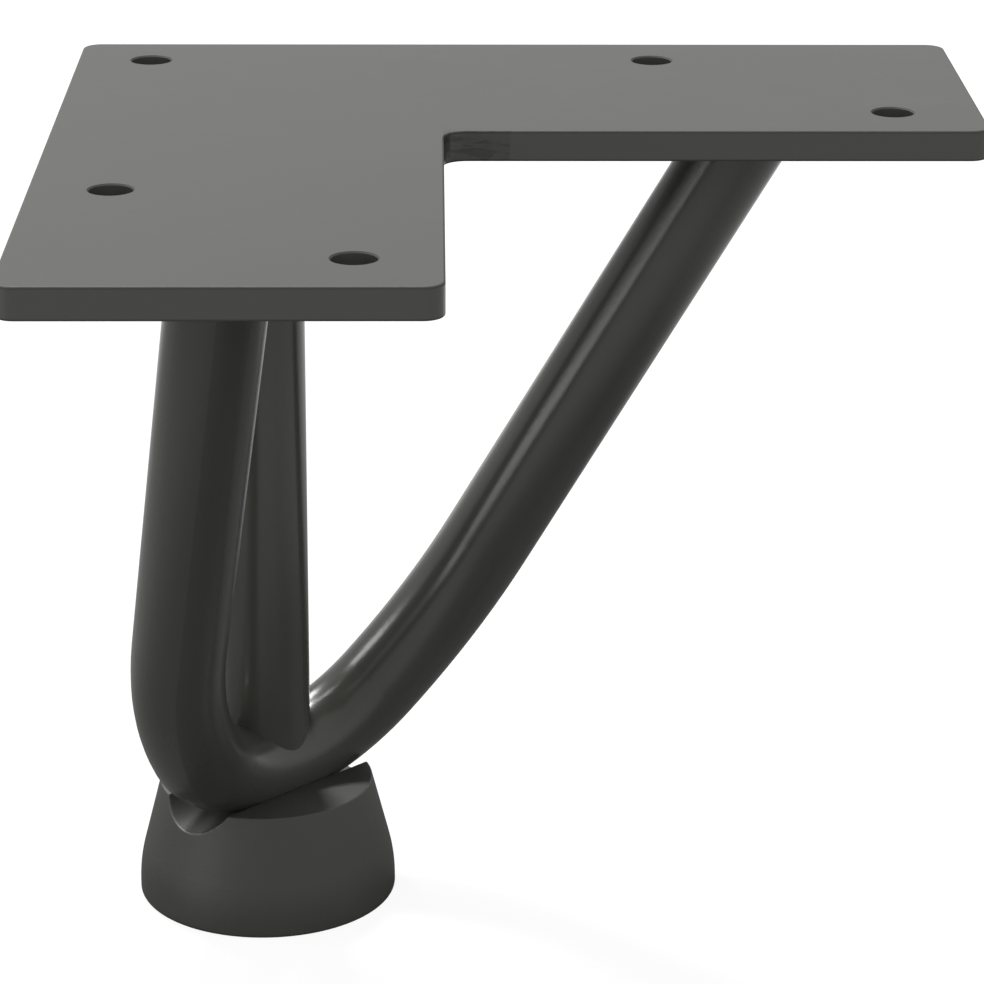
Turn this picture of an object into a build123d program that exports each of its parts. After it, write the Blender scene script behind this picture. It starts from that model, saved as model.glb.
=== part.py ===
from build123d import *
import os
from math import cos, radians, sin, sqrt, tan

# Hairpin table leg in millimetres. The plate's top face is at Z = 0 and the leg hangs below it.
# The origin is on the vertical line through the upright bar and the foot.

# Mounting plate: a flat angle with two equal arms
plate_side = 120.0
arm_width = 50.0
plate_thickness = 4.0
plate_corner_radius = 2.5
plate_inner_radius = 3.0
plate_edge_radius = 0.3

# Screw holes: one at the corner, then two along each arm
screw_hole_diameter = 5.4
hole_edge_break = 0.2
corner_hole_inset = 10.0
arm_hole_pitch = 68.75
end_hole_step = 29.75

# Round bar of both rods
bar_diameter = 12.6
bar_radius = bar_diameter / 2

# Upright bar and foot
foot_axis_inset = 24.8
foot_depth = 117.5

# Bent bar: a V that leans out from the plate's corner towards its notch
bend_inset = 25.4
bend_centre_depth = 97.9
limb_near_inset = 23.5
limb_far_inset = 92.7
bend_inner_radius = 15.3
bend_half_turn = 53.8
shoulder_radius = 73.5
shoulder_turn = 21.2

# Lower end of the upright bar, cut to sit on the bend
brace_lip_depth = 94.7

# Foot cap
cap_height = 16.9
cap_base_radius = 18.25
cap_base_edge_radius = 0.6
cap_upright_height = 1.45
cap_shoulder_radius = 23.0
cap_taper_angle = 14.3
cap_lip_radius = 0.25
groove_radius = 6.4
groove_centre_height = 19.8

# Weld beads under the plate
weld_size = 2.6

os.makedirs("parts", exist_ok=True)


def write_part(builder, label):
    """Name a finished piece and save it as a STEP file."""
    builder.part.label = label
    export_step(builder.part, "parts/" + label + ".step")


def from_edges(from_left, from_back):
    """Point of the plate given by its distances from the two outer edges."""
    return from_left - foot_axis_inset, foot_axis_inset - from_back


# Mounting plate
arm_corners = [
    (0, 0),
    (plate_side, 0),
    (plate_side, arm_width),
    (arm_width, arm_width),
    (arm_width, plate_side),
    (0, plate_side),
]
second_hole = corner_hole_inset + arm_hole_pitch
end_hole = second_hole + end_hole_step
end_hole_side = corner_hole_inset + end_hole_step
screw_holes = [
    (corner_hole_inset, corner_hole_inset),
    (second_hole, corner_hole_inset),
    (end_hole, end_hole_side),
    (corner_hole_inset, second_hole),
    (end_hole_side, end_hole),
]
notch_corner = Vector(*from_edges(arm_width, arm_width))

with BuildPart() as mounting_plate:
    with BuildSketch() as plate_outline:
        with BuildLine():
            Polyline([from_edges(*corner) for corner in arm_corners], close=True)
        make_face()
        inner_corner = plate_outline.vertices().sort_by_distance(notch_corner)[0]
        fillet(inner_corner, plate_inner_radius)
        square_corners = [
            vertex
            for corner in arm_corners
            for vertex in plate_outline.vertices()
            if (Vector(*vertex) - Vector(*from_edges(*corner))).length < 0.01
        ]
        fillet(square_corners, plate_corner_radius)
    extrude(amount=-plate_thickness)
    flat_faces = mounting_plate.faces().filter_by(Axis.Z)
    fillet(flat_faces.edges(), plate_edge_radius)
    with Locations([from_edges(*spot) for spot in screw_holes]):
        Hole(screw_hole_diameter / 2)
    hole_rims = mounting_plate.edges().filter_by(GeomType.CIRCLE).filter_by(
        lambda rim: abs(rim.radius - screw_hole_diameter / 2) < 0.01
    )
    chamfer(hole_rims, hole_edge_break)

write_part(mounting_plate, "mounting_plate")

# Leaning plane of the bent bar: X runs across the V and Y runs up it
bend_bottom = Vector(*from_edges(bend_inset, bend_inset), -bend_centre_depth)
limb_middle = (limb_near_inset + limb_far_inset) / 2
lean_run = (limb_middle - bend_inset) * sqrt(2)
lean_rise = bend_centre_depth - plate_thickness
limb_top_height = sqrt(lean_run**2 + lean_rise**2)
across = Vector(1, 1, 0).normalized()
outwards = Vector(1, -1, 0).normalized()
bar_plane = Plane(
    origin=bend_bottom,
    x_dir=across,
    z_dir=outwards * lean_rise - Vector(0, 0, 1) * lean_run,
)

# Bent bar: a tight bend, an easier arc on each side, then two straight limbs
main_radius = bend_inner_radius + bar_radius
limb_slope = bend_half_turn + shoulder_turn
limb_overrun = 8.0


def bend_point(turn):
    """Point of the bend's centreline where the bar has turned this far from level."""
    side = 1 if turn >= 0 else -1
    main = radians(min(abs(turn), bend_half_turn))
    full = radians(abs(turn))
    reach = main_radius * sin(main) + shoulder_radius * (sin(full) - sin(main))
    rise = main_radius * (1 - cos(main)) + shoulder_radius * (cos(main) - cos(full))
    return side * reach, rise


def limb_end(side):
    """Centre of a limb's end, run on past the plate's underside for a flush cut."""
    reach, rise = bend_point(limb_slope)
    top = limb_top_height + limb_overrun
    return side * (reach + (top - rise) / tan(radians(limb_slope))), top


with BuildPart() as hairpin_rod:
    with BuildLine(bar_plane) as bar_line:
        Line(limb_end(-1), bend_point(-limb_slope))
        for side in (-1, 0, 1):
            if side:
                turns = [side * (bend_half_turn + part * shoulder_turn) for part in (0, 0.5, 1)]
            else:
                turns = [-bend_half_turn, 0, bend_half_turn]
            ThreePointArc(*[bend_point(turn) for turn in turns])
        Line(bend_point(limb_slope), limb_end(1))
    bar_path = bar_line.wire()
    with BuildSketch(Plane(origin=bar_path @ 0, z_dir=bar_path % 0)):
        Circle(bar_radius)
    sweep(path=bar_path)
    split(bisect_by=Plane.XY.offset(-plate_thickness), keep=Keep.BOTTOM)

write_part(hairpin_rod, "hairpin_rod")

# Upright bar, cut to the bend it stands on
with BuildPart() as brace_rod:
    with BuildSketch(Plane.XY.offset(-plate_thickness)):
        Circle(bar_radius)
    extrude(amount=-(brace_lip_depth - plate_thickness))
    add(hairpin_rod.part, mode=Mode.SUBTRACT)

write_part(brace_rod, "brace_rod")

# Foot cap: a turned body with a groove across its top and a shallow seat for the bend
taper = radians(cap_taper_angle)
taper_start_height = cap_upright_height + cap_shoulder_radius * sin(taper)
taper_start_radius = cap_base_radius - cap_shoulder_radius * (1 - cos(taper))
rim_radius = taper_start_radius - (cap_height - taper_start_height) * tan(taper)
edge = cap_base_edge_radius

with BuildPart() as foot_cap:
    with BuildSketch(Plane.XZ) as cap_profile:
        with BuildLine(Location((0, -foot_depth))):
            Line((0, 0), (cap_base_radius - edge, 0))
            JernArc((cap_base_radius - edge, 0), (1, 0), edge, 90)
            Line((cap_base_radius, edge), (cap_base_radius, cap_upright_height))
            JernArc((cap_base_radius, cap_upright_height), (0, 1), cap_shoulder_radius, cap_taper_angle)
            Line((taper_start_radius, taper_start_height), (rim_radius, cap_height))
            Line((rim_radius, cap_height), (0, cap_height))
            Line((0, cap_height), (0, 0))
        make_face()
    revolve(axis=Axis.Z)
    groove_centre = Vector(bend_bottom.X, bend_bottom.Y, groove_centre_height - foot_depth)
    with BuildSketch(Plane(origin=groove_centre, z_dir=across)):
        Circle(groove_radius)
    extrude(amount=2 * cap_base_radius, both=True, mode=Mode.SUBTRACT)
    groove_face = foot_cap.faces().filter_by(GeomType.CYLINDER).sort_by(Axis.Z)[-1]
    rim_faces = foot_cap.faces().filter_by(Axis.Z).sort_by(Axis.Z)[-2:]
    fillet(groove_face.edges() + rim_faces.edges(), cap_lip_radius)
    add(hairpin_rod.part, mode=Mode.SUBTRACT)

write_part(foot_cap, "foot_cap")


# Weld beads, each run along the line where two pieces meet
def weld_bead(rim, rod):
    """Round bead along a rod's rim, less the rod and the plate it joins."""
    with BuildPart() as bead:
        with BuildSketch(Plane(origin=rim @ 0, z_dir=rim % 0)):
            Circle(weld_size)
        sweep(path=rim)
        add(mounting_plate.part, mode=Mode.SUBTRACT)
        add(rod.part, mode=Mode.SUBTRACT)
    return bead


def top_rim(rod):
    """Outlines of a rod's flush top ends, from left to right."""
    ends = rod.faces().filter_by(Axis.Z).group_by(Axis.Z)[-1].sort_by(Axis.X)
    return [end.outer_wire() for end in ends]


left_rim, right_rim = top_rim(hairpin_rod)
brace_rim = top_rim(brace_rod)[0]

write_part(weld_bead(left_rim, hairpin_rod), "left_limb_weld")
write_part(weld_bead(right_rim, hairpin_rod), "right_limb_weld")
write_part(weld_bead(brace_rim, brace_rod), "brace_top_weld")
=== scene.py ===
import bpy
import math
from mathutils import Matrix, Vector


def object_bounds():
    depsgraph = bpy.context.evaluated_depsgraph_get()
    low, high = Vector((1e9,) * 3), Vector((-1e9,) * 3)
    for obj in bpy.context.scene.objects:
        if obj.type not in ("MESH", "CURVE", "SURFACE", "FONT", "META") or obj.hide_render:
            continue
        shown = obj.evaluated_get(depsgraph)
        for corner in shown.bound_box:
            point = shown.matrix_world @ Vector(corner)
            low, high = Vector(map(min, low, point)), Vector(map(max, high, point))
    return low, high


# Short hairpin table leg in a dark powder coat, in metres, in the frame of its solids
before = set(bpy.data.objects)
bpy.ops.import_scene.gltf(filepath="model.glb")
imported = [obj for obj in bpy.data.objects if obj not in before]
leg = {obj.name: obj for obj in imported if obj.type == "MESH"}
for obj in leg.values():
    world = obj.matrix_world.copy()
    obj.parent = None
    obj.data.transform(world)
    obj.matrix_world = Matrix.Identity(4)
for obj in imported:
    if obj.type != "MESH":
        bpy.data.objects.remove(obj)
solid_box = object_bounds()
bpy.ops.object.select_all(action="DESELECT")

# Sizes and places of the leg that the finishes and the floor follow
ARM_WIDTH = 0.05
NOTCH_X = solid_box[0][0] + ARM_WIDTH
NOTCH_Y = solid_box[1][1] - ARM_WIDTH
LIMB_REACH = 0.0679
LIMB_OFFSET = 0.0013
LEFT_LIMB_TOP = (-LIMB_OFFSET, -LIMB_REACH)
RIGHT_LIMB_TOP = (LIMB_REACH, LIMB_OFFSET)
BRACE_TOP = (0, 0)
FLOOR_Z = solid_box[0][2]

# Colours of the powder coat and of the foot cap's plastic
COAT_GREY = (0.0368, 0.037, 0.0325)
CAP_GREY = (0.0335, 0.0337, 0.03)

# Roughness of each finish, and what the plate's thinly coated edges add to it
PLATE_ROUGHNESS = 0.3
BAR_ROUGHNESS = 0.235
WELD_ROUGHNESS = 0.38
CAP_ROUGHNESS = 0.47
EDGE_DULLNESS = 0.4

# Spread of tone over each finish, as a share of its colour
TONE_CHANGE = 0.12
PLATE_TONE_CHANGE = 0.04
CAP_TONE_CHANGE = 0.1

# Noises of the coat, in cells per metre: orange peel, fine specks and slow changes
PEEL_SCALE = 1500.0
CAP_PEEL_SCALE = 2600.0
SPECK_SCALE = 5200.0
SLOW_SCALE = 55.0

# Depths of the orange peel and of the weld ripples, and height of the raised patch in the notch
PEEL_DEPTH = 0.00002
PLATE_PEEL_DEPTH = 0.000008
BAR_PEEL_DEPTH = 0.000012
RIPPLE_DEPTH = 0.00012
PATCH_BUMP_HEIGHT = 0.00016

# Ripples round a bead
LIMB_RIPPLES = 30.0
BRACE_RIPPLES = 28.0

# Darker patch in the notch: its strip along the right arm, and its part in the inner corner
DARK_STRIP_LENGTH = 0.0083
CORNER_LENGTH = 0.003
CORNER_WIDTH = 0.0024

# Side of the floor in metres, then its paint and its glow to the eye, where 1 is white
FLOOR_SIZE = 4.0
FLOOR_PAINT = 0.1
FLOOR_GLOW = 0.9

# Share of the glow that reflections keep: in front, beside the leg and under the plate
FRONT_FLOOR = 0.55
DIM_FLOOR = 0.2
SHADED_FLOOR = 0.02

# Middle of the mirrored floor's shade, and where the shade and the dimmer parts fade out
SHADE_CENTRE = (0.035, 0.0)
SHADE_FADE = (0.075, 0.13)
BEHIND_FADE = (0.08, 0.4)
AHEAD_FADE = (0.05, 0.2)

# The room's level, even and extra on some sides, as light and in reflections
ROOM_SIDES = {"front": ("Y", -1), "left": ("X", -1), "right": ("X", 1)}
ROOM_LIGHT = {"even": 0.4, "front": 1.65, "left": 0.55, "right": 0.6}
ROOM_MIRRORED = {"even": 0.6, "right": 0.3}
SIDE_FADE = (0.2, 1.0)

# Point that the lamps face
AIM = Vector((0.02, -0.02, -0.06))

# The photograph's camera: focal length and picture width in pixels, sensor width in millimetres
FOCAL_LENGTH = 3705.6
PICTURE_WIDTH = 984
SENSOR_WIDTH = 36.0

# Where the camera stands, its turn to the right, its tilt down and its roll
CAMERA_PLACE = (0.02372, -0.48506, 0.11508)
CAMERA_YAW = math.radians(0.977)
CAMERA_PITCH = math.radians(19.61)
CAMERA_ROLL = math.radians(-0.262)


def node(tree, kind, at, **values):
    """A shader node at a place in its tree, with its settings."""
    made = tree.nodes.new(kind)
    made.location = at
    for name, value in values.items():
        setattr(made, name, value)
    return made


def feed(tree, source, entry):
    """Set a node's input to a plain number, or link it to a socket."""
    if isinstance(source, (int, float)):
        entry.default_value = source
    else:
        tree.links.new(source, entry)


def maths(tree, operation, at, first, second=None):
    """A maths node fed by sockets or plain numbers."""
    made = node(tree, "ShaderNodeMath", at, operation=operation)
    feed(tree, first, made.inputs[0])
    if second is not None:
        feed(tree, second, made.inputs[1])
    return made.outputs[0]


def noise(tree, place, at, **settings):
    """A noise from 0 to 1 over a place, with its inputs set by name."""
    made = node(tree, "ShaderNodeTexNoise", at)
    tree.links.new(place, made.inputs["Vector"])
    for name, value in settings.items():
        feed(tree, value, made.inputs[name])
    return made.outputs["Fac"]


def scaled(tree, vector, factor, at):
    """A colour or vector times a value."""
    made = node(tree, "ShaderNodeVectorMath", at, operation="SCALE")
    tree.links.new(vector, made.inputs[0])
    tree.links.new(factor, made.inputs["Scale"])
    return made.outputs[0]


def separated(tree, vector, at):
    """The parts of a vector, by the names X, Y and Z."""
    made = node(tree, "ShaderNodeSeparateXYZ", at)
    tree.links.new(vector, made.inputs[0])
    return made.outputs


def smooth_step(tree, source, low, high, at):
    """A value that runs from 0 to 1 as its source passes from low to high."""
    made = node(tree, "ShaderNodeMapRange", at, interpolation_type="SMOOTHSTEP")
    made.inputs["From Min"].default_value = low
    made.inputs["From Max"].default_value = high
    tree.links.new(source, made.inputs["Value"])
    return made.outputs["Result"]


def band(tree, source, middle, half_width, softness, at):
    """A mask of 1 within a band round a middle value, with soft sides."""
    away = maths(tree, "ABSOLUTE", at, maths(tree, "SUBTRACT", at, source, middle))
    outside = smooth_step(tree, away, half_width, half_width + softness, at)
    return maths(tree, "SUBTRACT", at, 1.0, outside)


def effect(name, inputs, outputs):
    """An empty node group with named inputs and outputs."""
    group = bpy.data.node_groups.new(name, "ShaderNodeTree")
    for label, kind, value in inputs:
        made = group.interface.new_socket(label, in_out="INPUT", socket_type=kind)
        if value is not None:
            made.default_value = value
    for label, kind in outputs:
        group.interface.new_socket(label, in_out="OUTPUT", socket_type=kind)
    start = node(group, "NodeGroupInput", (-900, 0))
    end = node(group, "NodeGroupOutput", (700, 0))
    return group, start.outputs, end.inputs


def powder_grain():
    """Fine orange peel of a baked powder coat, with slow changes of tone and gloss."""
    speck_height = 0.18
    speck_tone = 0.35
    gloss_change = 0.09
    group, start, end = effect(
        "powder_grain",
        [
            ("Vector", "NodeSocketVector", None),
            ("Peel Scale", "NodeSocketFloat", PEEL_SCALE),
            ("Tone", "NodeSocketColor", (*COAT_GREY, 1)),
            ("Tone Change", "NodeSocketFloat", TONE_CHANGE),
            ("Roughness", "NodeSocketFloat", PLATE_ROUGHNESS),
        ],
        [
            ("Color", "NodeSocketColor"),
            ("Roughness", "NodeSocketFloat"),
            ("Height", "NodeSocketFloat"),
        ],
    )
    link = group.links.new
    place = start["Vector"]
    peel = noise(group, place, (-600, 200), Scale=start["Peel Scale"], Detail=2.0, Roughness=0.55)
    speck = noise(group, place, (-600, -50), Scale=SPECK_SCALE, Detail=1.0)
    slow = noise(group, place, (-600, -300), Scale=SLOW_SCALE, Detail=3.0, Distortion=0.6)

    specks = maths(group, "MULTIPLY", (-500, 50), speck, speck_height)
    link(maths(group, "ADD", (-350, 150), peel, specks), end["Height"])

    centred = maths(group, "SUBTRACT", (-350, -250), slow, 0.5)
    fine = maths(group, "SUBTRACT", (-430, -100), speck, 0.5)
    fine = maths(group, "MULTIPLY", (-350, -100), fine, speck_tone)
    both = maths(group, "ADD", (-200, -200), centred, fine)
    change = maths(group, "MULTIPLY", (-50, -200), both, start["Tone Change"])
    factor = maths(group, "ADD", (100, -200), change, 1.0)
    link(scaled(group, start["Tone"], factor, (300, -100)), end["Color"])

    gloss = maths(group, "MULTIPLY", (150, -350), centred, gloss_change)
    link(maths(group, "ADD", (300, -350), start["Roughness"], gloss), end["Roughness"])
    return group


def weld_ripples():
    """Overlapping ripples round a weld bead, as a height from 0 to 1."""
    slant_per_metre = 900.0
    looseness = 5.0
    crest_fullness = 0.6
    group, start, end = effect(
        "weld_ripples",
        [("Vector", "NodeSocketVector", None), ("Count", "NodeSocketFloat", LIMB_RIPPLES)],
        [("Height", "NodeSocketFloat")],
    )
    wander = noise(group, start["Vector"], (-700, -200), Scale=240.0, Detail=2.0)
    parts = separated(group, start["Vector"], (-700, 100))
    angle = maths(group, "ARCTAN2", (-500, 100), parts["Y"], parts["X"])
    turns = maths(group, "MULTIPLY", (-350, 100), angle, start["Count"])
    slant = maths(group, "MULTIPLY", (-350, -50), parts["Z"], slant_per_metre)
    wave = maths(group, "ADD", (-200, 60), turns, slant)
    loose = maths(group, "MULTIPLY", (-200, -200), wander, looseness)
    wave = maths(group, "ADD", (-50, 0), wave, loose)
    half = maths(group, "MULTIPLY", (20, -60), wave, 0.5)
    crest = maths(group, "ABSOLUTE", (250, 0), maths(group, "SINE", (100, 0), half))
    group.links.new(maths(group, "POWER", (400, 0), crest, crest_fullness), end["Height"])
    return group


POWDER_GRAIN = powder_grain()
WELD_RIPPLES = weld_ripples()


def finish(name):
    """A new material with its surface shader and object coordinates."""
    material = bpy.data.materials.new(name)
    material.use_nodes = True
    tree = material.node_tree
    surface = tree.nodes["Principled BSDF"]
    surface.location = (500, 100)
    tree.nodes["Material Output"].location = (800, 100)
    where = node(tree, "ShaderNodeTexCoord", (-1300, 0))
    return material, tree, surface, where.outputs["Object"]


def coat(
    tree, surface, place, tone, roughness, peel=PEEL_SCALE, change=TONE_CHANGE, depth=PEEL_DEPTH, extra=None
):
    """Coat on a surface: its colour, gloss and orange peel. Extra is another height in metres."""
    link = tree.links.new
    grain = node(tree, "ShaderNodeGroup", (-300, 100), node_tree=POWDER_GRAIN)
    link(place, grain.inputs["Vector"])
    grain.inputs["Peel Scale"].default_value = peel
    grain.inputs["Tone"].default_value = (*tone, 1)
    grain.inputs["Tone Change"].default_value = change
    grain.inputs["Roughness"].default_value = roughness
    link(grain.outputs["Color"], surface.inputs["Base Color"])
    link(grain.outputs["Roughness"], surface.inputs["Roughness"])
    height = maths(tree, "MULTIPLY", (-50, -200), grain.outputs["Height"], depth)
    if extra is not None:
        height = maths(tree, "ADD", (100, -250), height, extra)
    bump = node(tree, "ShaderNodeBump", (280, -200))
    bump.inputs["Strength"].default_value = 1.0
    bump.inputs["Distance"].default_value = 1.0
    link(height, bump.inputs["Height"])
    link(bump.outputs["Normal"], surface.inputs["Normal"])
    return grain


def notch_patch(tree, parts):
    """Mask of the darker patch: along the right arm's front and in the notch's inner corner."""
    softness = 0.0003
    front_depth = 0.0004
    front_softness = 0.0002
    half_strip = DARK_STRIP_LENGTH / 2
    half_length = CORNER_LENGTH / 2
    half_width = CORNER_WIDTH / 2
    along = band(tree, parts["X"], NOTCH_X + half_strip, half_strip, softness, (-800, -600))
    front = band(tree, parts["Y"], NOTCH_Y, front_depth, front_softness, (-800, -750))
    inwards = band(tree, parts["Y"], NOTCH_Y - half_length, half_length, softness, (-800, -850))
    across = band(tree, parts["X"], NOTCH_X + half_width, half_width, softness, (-800, -950))
    strip = maths(tree, "MULTIPLY", (-650, -650), along, front)
    corner = maths(tree, "MULTIPLY", (-650, -900), inwards, across)
    return maths(tree, "MAXIMUM", (-600, -700), strip, corner)


def notch_marks(tree, place):
    """Masks of the notch's darker patch and of its dark streaks with a line of painted shade on the corner
    fillet, and a noise for its height.
    """
    streak_slant = math.radians(12)
    streak_scale = (170, 170, 640)
    streak_levels = (0.46, 0.62)
    # Thin line of painted shade on the notch's corner fillet, darkened together with the patch
    fillet_shade_x = NOTCH_X + 0.0007
    fillet_shade_half_width = 0.00008
    fillet_shade_softness = 0.0001
    parts = separated(tree, place, (-1000, -700))
    patch = notch_patch(tree, parts)
    stretch = node(tree, "ShaderNodeMapping", (-1000, -1100))
    stretch.inputs["Rotation"].default_value = (0, streak_slant, 0)
    stretch.inputs["Scale"].default_value = streak_scale
    tree.links.new(place, stretch.inputs["Vector"])
    streak_noise = noise(tree, stretch.outputs[0], (-800, -1100), Scale=1.0, Detail=3.0, Distortion=1.6)
    streaks = smooth_step(tree, streak_noise, *streak_levels, (-600, -1100))
    fillet_shade = band(tree, parts["X"], fillet_shade_x, fillet_shade_half_width, fillet_shade_softness, (-800, -1300))
    # Dark streaks and the painted shade line together
    streaks_and_shade = maths(tree, "MAXIMUM", (-450, -1150), streaks, fillet_shade)
    return patch, maths(tree, "MULTIPLY", (-300, -1000), patch, streaks_and_shade), streak_noise


def plate_edges(tree):
    """Mask of 1 on the plate's rounded edges and the rims of its holes."""
    slope_fade = (0.01, 0.05)
    facing = separated(tree, tree.nodes["Texture Coordinate"].outputs["Normal"], (-1000, 700))
    level = maths(tree, "ABSOLUTE", (-800, 700), facing["Z"])
    steep = maths(tree, "SUBTRACT", (-700, 800), 1.0, level)
    slope = maths(tree, "MULTIPLY", (-600, 700), level, steep)
    return smooth_step(tree, slope, *slope_fade, (-450, 700))


def plate_finish():
    """Flat plate: even coat, thin and dull on its edges, with a darker streaked patch and a line of painted
    shade in the notch's corner.
    """
    patch_darkness = 0.2
    streak_and_shade_darkness = 0.4
    edge_darkness = 0.3
    material, tree, surface, place = finish("plate_powder_coat")
    link = tree.links.new
    # The streaks mask carries the dark streaks and the painted shade line on the corner fillet
    patch, streaks, streak_noise = notch_marks(tree, place)
    raised = maths(tree, "MULTIPLY", (-250, -800), patch, streak_noise)
    raised = maths(tree, "MULTIPLY", (-150, -800), raised, PATCH_BUMP_HEIGHT)
    grain = coat(
        tree,
        surface,
        place,
        COAT_GREY,
        PLATE_ROUGHNESS,
        change=PLATE_TONE_CHANGE,
        depth=PLATE_PEEL_DEPTH,
        extra=raised,
    )
    edges = plate_edges(tree)
    fade = maths(tree, "MULTIPLY", (-100, 350), patch, patch_darkness)
    streak_and_shade_fade = maths(tree, "MULTIPLY", (-100, 450), streaks, streak_and_shade_darkness)
    fade = maths(tree, "ADD", (0, 350), fade, streak_and_shade_fade)
    edge_fade = maths(tree, "MULTIPLY", (-50, 550), edges, edge_darkness)
    fade = maths(tree, "ADD", (50, 450), fade, edge_fade)
    kept = maths(tree, "SUBTRACT", (100, 350), 1.0, fade)
    link(scaled(tree, grain.outputs["Color"], kept, (250, 300)), surface.inputs["Base Color"])
    dull = maths(tree, "MULTIPLY", (100, 700), edges, EDGE_DULLNESS)
    link(maths(tree, "ADD", (250, 600), grain.outputs["Roughness"], dull), surface.inputs["Roughness"])
    return material


def bar_finish(name):
    """Round bar: the glossiest coat, with a shallow orange peel."""
    material, tree, surface, place = finish(name)
    coat(tree, surface, place, COAT_GREY, BAR_ROUGHNESS, depth=BAR_PEEL_DEPTH)
    return material


def weld_finish(name, centre, count):
    """Coated weld bead with ripples round its own centre."""
    material, tree, surface, place = finish(name)
    link = tree.links.new
    move = node(tree, "ShaderNodeMapping", (-1000, -300))
    move.inputs["Location"].default_value = (-centre[0], -centre[1], 0)
    link(place, move.inputs["Vector"])
    ripples = node(tree, "ShaderNodeGroup", (-700, -300), node_tree=WELD_RIPPLES)
    ripples.inputs["Count"].default_value = count
    link(move.outputs[0], ripples.inputs["Vector"])
    raised = maths(tree, "MULTIPLY", (-300, -300), ripples.outputs["Height"], RIPPLE_DEPTH)
    coat(tree, surface, place, COAT_GREY, WELD_ROUGHNESS, extra=raised)
    return material


def cap_finish():
    """Moulded foot cap: matt grey plastic with a fine grain."""
    material, tree, surface, place = finish("foot_cap_plastic")
    coat(tree, surface, place, CAP_GREY, CAP_ROUGHNESS, peel=CAP_PEEL_SCALE, change=CAP_TONE_CHANGE)
    return material


finishes = {
    "mounting_plate": plate_finish(),
    "hairpin_rod": bar_finish("hairpin_powder_coat"),
    "brace_rod": bar_finish("brace_powder_coat"),
    "foot_cap": cap_finish(),
    "left_limb_weld": weld_finish("left_weld_coat", LEFT_LIMB_TOP, LIMB_RIPPLES),
    "right_limb_weld": weld_finish("right_weld_coat", RIGHT_LIMB_TOP, LIMB_RIPPLES),
    "brace_top_weld": weld_finish("brace_top_weld_coat", BRACE_TOP, BRACE_RIPPLES),
}
for name, material in finishes.items():
    for slot in leg[name].material_slots:
        slot.material = material


def mirror_rays(tree, path, at):
    """1 for a ray that left a glossy or clear surface, otherwise 0."""
    return maths(tree, "MAXIMUM", at, path["Is Glossy Ray"], path["Is Transmission Ray"])


def mirrored_floor(tree):
    """Share of the floor's glow in reflections: least under the plate, and most far behind the leg."""
    where = node(tree, "ShaderNodeTexCoord", (-1300, -200)).outputs["Object"]
    centre = node(tree, "ShaderNodeVectorMath", (-1100, -200), operation="SUBTRACT")
    centre.inputs[1].default_value = (*SHADE_CENTRE, FLOOR_Z)
    tree.links.new(where, centre.inputs[0])
    reach = node(tree, "ShaderNodeVectorMath", (-900, -200), operation="LENGTH")
    tree.links.new(centre.outputs[0], reach.inputs[0])
    open_floor = smooth_step(tree, reach.outputs["Value"], *SHADE_FADE, (-700, -200))
    parts = separated(tree, where, (-900, -400))
    behind = smooth_step(tree, parts["Y"], *BEHIND_FADE, (-700, -400))
    behind = maths(tree, "MULTIPLY", (-550, -400), behind, 1.0 - DIM_FLOOR)
    ahead = maths(tree, "MULTIPLY", (-850, -600), parts["Y"], -1.0)
    ahead = maths(tree, "MAXIMUM", (-800, -600), ahead, parts["X"])
    ahead = smooth_step(tree, ahead, *AHEAD_FADE, (-700, -600))
    ahead = maths(tree, "MULTIPLY", (-550, -600), ahead, FRONT_FLOOR - DIM_FLOOR)
    share = maths(tree, "ADD", (-500, -500), behind, ahead)
    share = maths(tree, "ADD", (-450, -400), share, DIM_FLOOR - SHADED_FLOOR)
    share = maths(tree, "MULTIPLY", (-400, -300), open_floor, share)
    return maths(tree, "ADD", (-350, -300), share, SHADED_FLOOR)


def floor():
    """A wide floor: white to the eye, dark paint to the light, and a dimmer glow in reflections."""
    bpy.ops.mesh.primitive_plane_add(size=FLOOR_SIZE, location=(0, 0, 0))
    ground = bpy.context.object
    ground.name = "floor"
    bpy.ops.object.mode_set(mode="EDIT")
    bpy.ops.mesh.select_all(action="SELECT")
    bpy.ops.transform.translate(value=(0, 0, FLOOR_Z))
    bpy.ops.object.mode_set(mode="OBJECT")
    material = bpy.data.materials.new("white_floor")
    material.use_nodes = True
    tree = material.node_tree
    link = tree.links.new
    tree.nodes.remove(tree.nodes["Principled BSDF"])
    paint = node(tree, "ShaderNodeBsdfDiffuse", (-100, 200))
    paint.inputs["Color"].default_value = (FLOOR_PAINT, FLOOR_PAINT, FLOOR_PAINT, 1)
    path = node(tree, "ShaderNodeLightPath", (-1100, 100)).outputs
    mirrored = mirror_rays(tree, path, (-700, 50))
    mirrored = maths(tree, "MULTIPLY", (-500, -50), mirrored, mirrored_floor(tree))
    seen = maths(tree, "MAXIMUM", (-300, 50), path["Is Camera Ray"], mirrored)
    glow = node(tree, "ShaderNodeEmission", (-100, 0))
    link(maths(tree, "MULTIPLY", (-200, -100), seen, FLOOR_GLOW), glow.inputs["Strength"])
    both = node(tree, "ShaderNodeAddShader", (100, 100))
    link(paint.outputs[0], both.inputs[0])
    link(glow.outputs[0], both.inputs[1])
    link(both.outputs[0], tree.nodes["Material Output"].inputs["Surface"])
    ground.data.materials.append(material)


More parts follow.
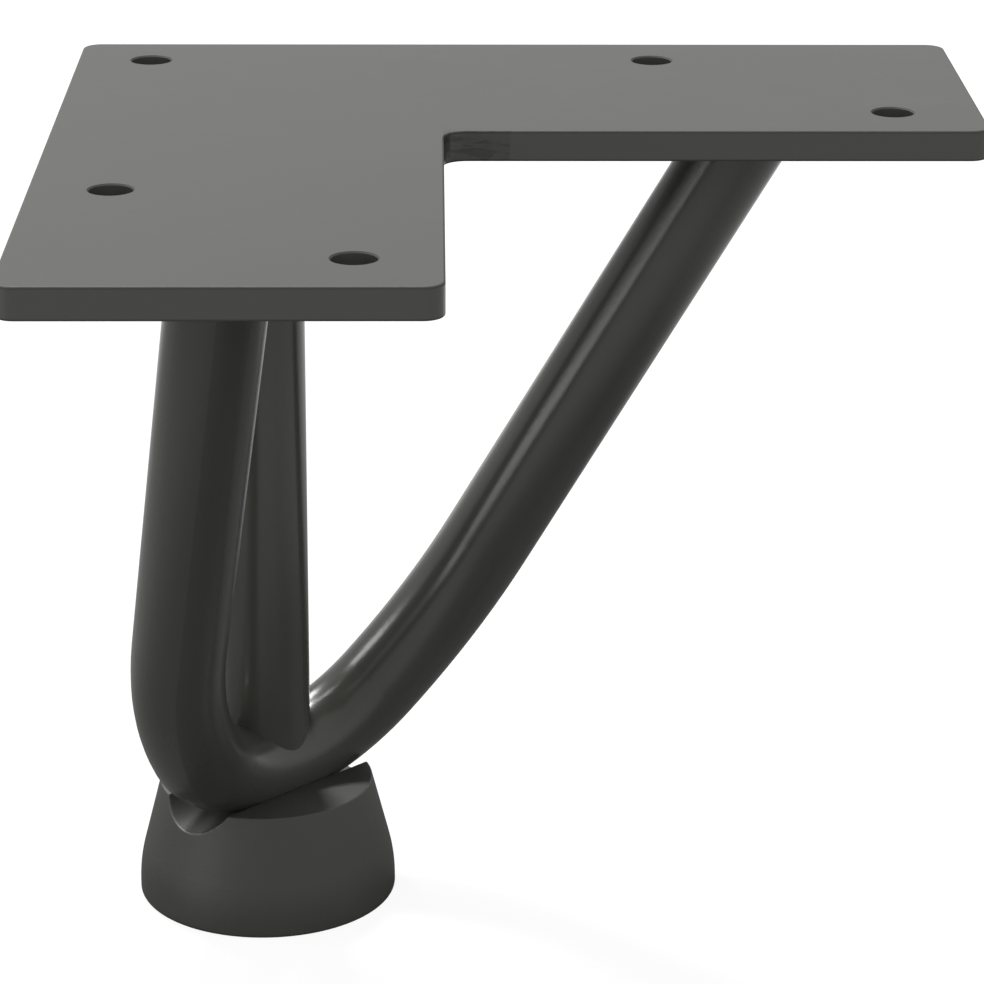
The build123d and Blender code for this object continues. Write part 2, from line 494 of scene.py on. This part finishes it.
def room_level(tree, parts, levels, at):
    """Brightness of the room by direction: an even level, and more towards some of its sides."""
    row_height = 150
    total = levels["even"]
    for place, (side, (axis, sign)) in enumerate(ROOM_SIDES.items()):
        if side not in levels:
            continue
        spot = (at[0], at[1] - row_height * place)
        towards = maths(tree, "MULTIPLY", spot, parts[axis], sign)
        towards = smooth_step(tree, towards, *SIDE_FADE, spot)
        extra = maths(tree, "MULTIPLY", spot, towards, levels[side])
        total = maths(tree, "ADD", spot, extra, total)
    return total


def chosen(tree, factor, first, second, at):
    """One of two levels: the first where the factor is 0, and the second where it is 1."""
    mix = node(tree, "ShaderNodeMix", at, data_type="FLOAT")
    tree.links.new(factor, mix.inputs["Factor"])
    feed(tree, first, mix.inputs[2])
    feed(tree, second, mix.inputs[3])
    return mix.outputs[0]


def surroundings():
    """A room that is white to the eye, with its own levels by direction as light and in reflections."""
    world = bpy.data.worlds.new("white_room")
    bpy.context.scene.world = world
    world.use_nodes = True
    tree = world.node_tree
    where = node(tree, "ShaderNodeTexCoord", (-1300, -300))
    parts = separated(tree, where.outputs["Generated"], (-1100, -300))
    light = room_level(tree, parts, ROOM_LIGHT, (-800, 800))
    mirrored = room_level(tree, parts, ROOM_MIRRORED, (-800, -300))
    path = node(tree, "ShaderNodeLightPath", (-1100, 200)).outputs
    level = chosen(tree, mirror_rays(tree, path, (-400, 250)), light, mirrored, (-200, 100))
    level = chosen(tree, path["Is Camera Ray"], level, 1.0, (0, 100))
    white = tree.nodes["Background"]
    white.inputs["Color"].default_value = (1, 1, 1, 1)
    tree.links.new(level, white.inputs["Strength"])


def direction(turn, rise):
    """Unit vector at an angle to the right of straight behind, and at an angle above level."""
    return Vector((math.sin(turn) * math.cos(rise), math.cos(turn) * math.cos(rise), math.sin(rise)))


def lamp(name, azimuth, elevation, distance, size, energy):
    """A soft lamp seen from the leg in a direction: degrees from straight behind, and above level."""
    away = direction(math.radians(azimuth), math.radians(elevation))
    light = bpy.data.lights.new(name, "AREA")
    light.shape = "RECTANGLE"
    light.size, light.size_y = size
    light.energy = energy
    made = bpy.data.objects.new(name, light)
    bpy.context.collection.objects.link(made)
    made.location = AIM + distance * away
    made.rotation_euler = (-away).to_track_quat("-Z", "Y").to_euler()


def camera():
    """The photograph's view: nearly straight on, from a little above."""
    forward = direction(CAMERA_YAW, -CAMERA_PITCH)
    level = Vector((math.cos(CAMERA_YAW), -math.sin(CAMERA_YAW), 0))
    down = forward.cross(level)
    right = level * math.cos(CAMERA_ROLL) + down * math.sin(CAMERA_ROLL)
    up = level * math.sin(CAMERA_ROLL) - down * math.cos(CAMERA_ROLL)
    lens = bpy.data.cameras.new("camera")
    lens.sensor_width = SENSOR_WIDTH
    lens.lens = FOCAL_LENGTH / PICTURE_WIDTH * SENSOR_WIDTH
    lens.clip_start = 0.01
    eye = bpy.data.objects.new("camera", lens)
    bpy.context.collection.objects.link(eye)
    turn = Matrix((right, up, -forward)).transposed().to_4x4()
    eye.matrix_world = Matrix.Translation(CAMERA_PLACE) @ turn
    bpy.context.scene.camera = eye


floor()
surroundings()
lamp("key_softbox", azimuth=-20, elevation=62, distance=2.0, size=(0.3, 0.3), energy=42.0)
lamp("left_softbox", azimuth=-80, elevation=28, distance=1.0, size=(0.35, 0.16), energy=1.7)
lamp("back_left_softbox", azimuth=-33, elevation=42, distance=2.0, size=(0.22, 0.56), energy=11.0)
lamp("front_left_panel", azimuth=-118, elevation=-4, distance=1.0, size=(0.6, 0.3), energy=1.9)
camera()
bpy.context.scene.view_settings.view_transform = "Standard"
